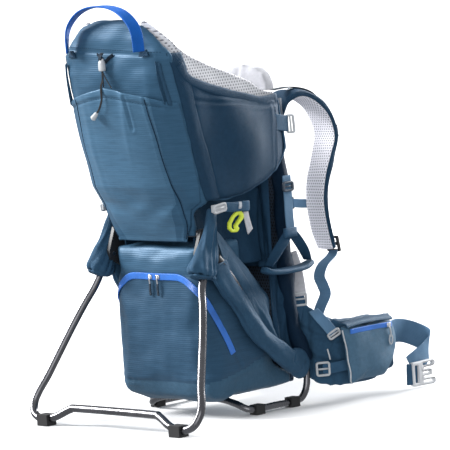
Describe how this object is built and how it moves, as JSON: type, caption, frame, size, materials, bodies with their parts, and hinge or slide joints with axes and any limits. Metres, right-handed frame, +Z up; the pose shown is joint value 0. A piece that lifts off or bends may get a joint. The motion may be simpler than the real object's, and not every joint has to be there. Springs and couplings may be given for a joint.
{
  "type": "child carrier backpack",
  "caption": "Framed backpack for carrying a small child, with a seat pod, head rest, folding kickstand, lower bag, padded shoulder straps and a hip belt.",
  "frame": {"origin": "on the ground, midway across the object and midway between the kickstand and the front of the hip belt", "axes": "+X to the wearer's right, +Y forwards to the wearer and the hip belt, +Z up"},
  "size_m": [0.43, 0.6347, 0.7216],
  "materials": {
    "frame_tube": "satin",
    "bracket_plastic": "matte",
    "pin_steel": "satin",
    "rubber_foot": "matte",
    "navy_fabric": "matte",
    "blue_fabric": "matte",
    "spacer_mesh": "matte",
    "dark_fabric": "matte",
    "strap_fabric": "matte",
    "webbing_black": "matte",
    "webbing_blue": "matte",
    "handle_blue": "matte",
    "zipper_blue": "matte",
    "slider_metal": "satin",
    "buckle_grey": "satin",
    "buckle_black": "satin",
    "hook_yellow": "satin",
    "cord_black": "matte"
  },
  "bodies": {
    "frame": {"base_loop": "frame_tube", "upright_right": "frame_tube", "upright_left": "frame_tube", "cross_tubes": "frame_tube", "brace_right": "frame_tube", "brace_left": "frame_tube", "hinge_brackets": "bracket_plastic", "pivot_pins": "pin_steel", "base_feet": "rubber_foot", "rear_shell": "navy_fabric", "rear_pocket": "blue_fabric", "wing_right": "navy_fabric", "wing_left": "navy_fabric", "mesh_rim": "spacer_mesh", "head_cushion": "spacer_mesh", "lower_bag": "blue_fabric", "bag_band": "blue_fabric", "bag_zipper": "zipper_blue", "sleeve_right": "navy_fabric", "sleeve_left": "navy_fabric", "brace_sleeve_right": "navy_fabric", "brace_sleeve_left": "navy_fabric", "back_panel": "dark_fabric", "lumbar_pad": "dark_fabric", "shoulder_strap_right": "strap_fabric", "shoulder_strap_left": "strap_fabric", "load_lifters": "webbing_black", "lifter_buckles": "buckle_black", "lower_webbing": "webbing_blue", "ladder_locks": "buckle_black", "side_entry_buckles": "slider_metal", "grab_handle": "handle_blue", "pocket_cord": "cord_black", "cord_end": "buckle_grey"},
    "kickstand": {"kickstand": "frame_tube", "kickstand_knuckles": "bracket_plastic", "kickstand_feet": "rubber_foot"},
    "seat": {"child_seat": "dark_fabric", "harness_buckle": "buckle_grey", "harness": "webbing_black"},
    "chin_pad": {"chin_pad": "spacer_mesh"},
    "zip_slider_right": {"zip_slider_right": "slider_metal"},
    "zip_slider_left": {"zip_slider_left": "slider_metal"},
    "sternum": {"sternum_strap": "webbing_blue", "sternum_buckle": "buckle_black"},
    "stirrup_right": {"stirrup_right": "strap_fabric"},
    "stirrup_left": {"stirrup_left": "strap_fabric"},
    "hip_right": {"hip_fin_right": "dark_fabric", "hip_pocket_right": "blue_fabric", "belt_webbing_right": "webbing_blue", "buckle_male": "buckle_grey"},
    "hip_left": {"hip_fin_left": "dark_fabric", "hip_pocket_left": "blue_fabric", "belt_webbing_left": "webbing_blue", "buckle_female": "buckle_grey"},
    "hip_slider_right": {"hip_slider_right": "slider_metal"},
    "hip_slider_left": {"hip_slider_left": "slider_metal"},
    "cord_lock": {"cord_lock": "buckle_grey"},
    "cord_lock_button": {"cord_lock_button": "buckle_black"},
    "safety_hook": {"safety_hook": "hook_yellow"}
  },
  "joints": [
    {"name": "kickstand_fold", "type": "hinge", "parent": "frame", "child": "kickstand", "pos_m": [0, -0.175, 0.285], "axis": [1, 0, 0], "range_deg": [0, 28]},
    {"name": "seat_height", "type": "slide", "parent": "frame", "child": "seat", "axis": [0, 0, 1], "range_m": [0, 0.04]},
    {"name": "chin_pad_lift", "type": "slide", "parent": "frame", "child": "chin_pad", "axis": [0, 0, 1], "range_m": [0, 0.06]},
    {"name": "bag_zip_right", "type": "slide", "parent": "frame", "child": "zip_slider_right", "axis": [1, 0, 0], "range_m": [0, 0.036]},
    {"name": "bag_zip_left", "type": "slide", "parent": "frame", "child": "zip_slider_left", "axis": [-1, 0, 0], "range_m": [0, 0.036]},
    {"name": "sternum_height", "type": "slide", "parent": "frame", "child": "sternum", "axis": [0, 0, 1], "range_m": [-0.02, 0.02]},
    {"name": "stirrup_swing_right", "type": "hinge", "parent": "frame", "child": "stirrup_right", "pos_m": [0.139, 0.016, 0.402], "axis": [1, 0, 0], "range_deg": [-12, 12]},
    {"name": "stirrup_swing_left", "type": "hinge", "parent": "frame", "child": "stirrup_left", "pos_m": [-0.139, 0.016, 0.402], "axis": [1, 0, 0], "range_deg": [-12, 12]},
    {"name": "hip_fin_swing_right", "type": "hinge", "parent": "frame", "child": "hip_right", "pos_m": [0.1, 0.058, 0.11], "axis": [0, 0, 1], "range_deg": [-10, 14]},
    {"name": "hip_fin_swing_left", "type": "hinge", "parent": "frame", "child": "hip_left", "pos_m": [-0.1, 0.058, 0.11], "axis": [0, 0, -1], "range_deg": [-10, 14]},
    {"name": "hip_zip_right", "type": "slide", "parent": "hip_right", "child": "hip_slider_right", "axis": [0, -1, 0], "range_m": [0, 0.08]},
    {"name": "hip_zip_left", "type": "slide", "parent": "hip_left", "child": "hip_slider_left", "axis": [0, -1, 0], "range_m": [0, 0.08]},
    {"name": "cord_lock_slide", "type": "slide", "parent": "frame", "child": "cord_lock", "axis": [0, 0, -1], "range_m": [0, 0.012]},
    {"name": "cord_lock_press", "type": "slide", "parent": "cord_lock", "child": "cord_lock_button", "axis": [0, 0, -1], "range_m": [0, 0.0025], "stiffness_N_per_m": 300, "springref_m": -0.001},
    {"name": "hook_swing", "type": "hinge", "parent": "frame", "child": "safety_hook", "pos_m": [0.139, -0.105, 0.362], "axis": [1, 0, 0], "range_deg": [0, 25]}
  ]
}
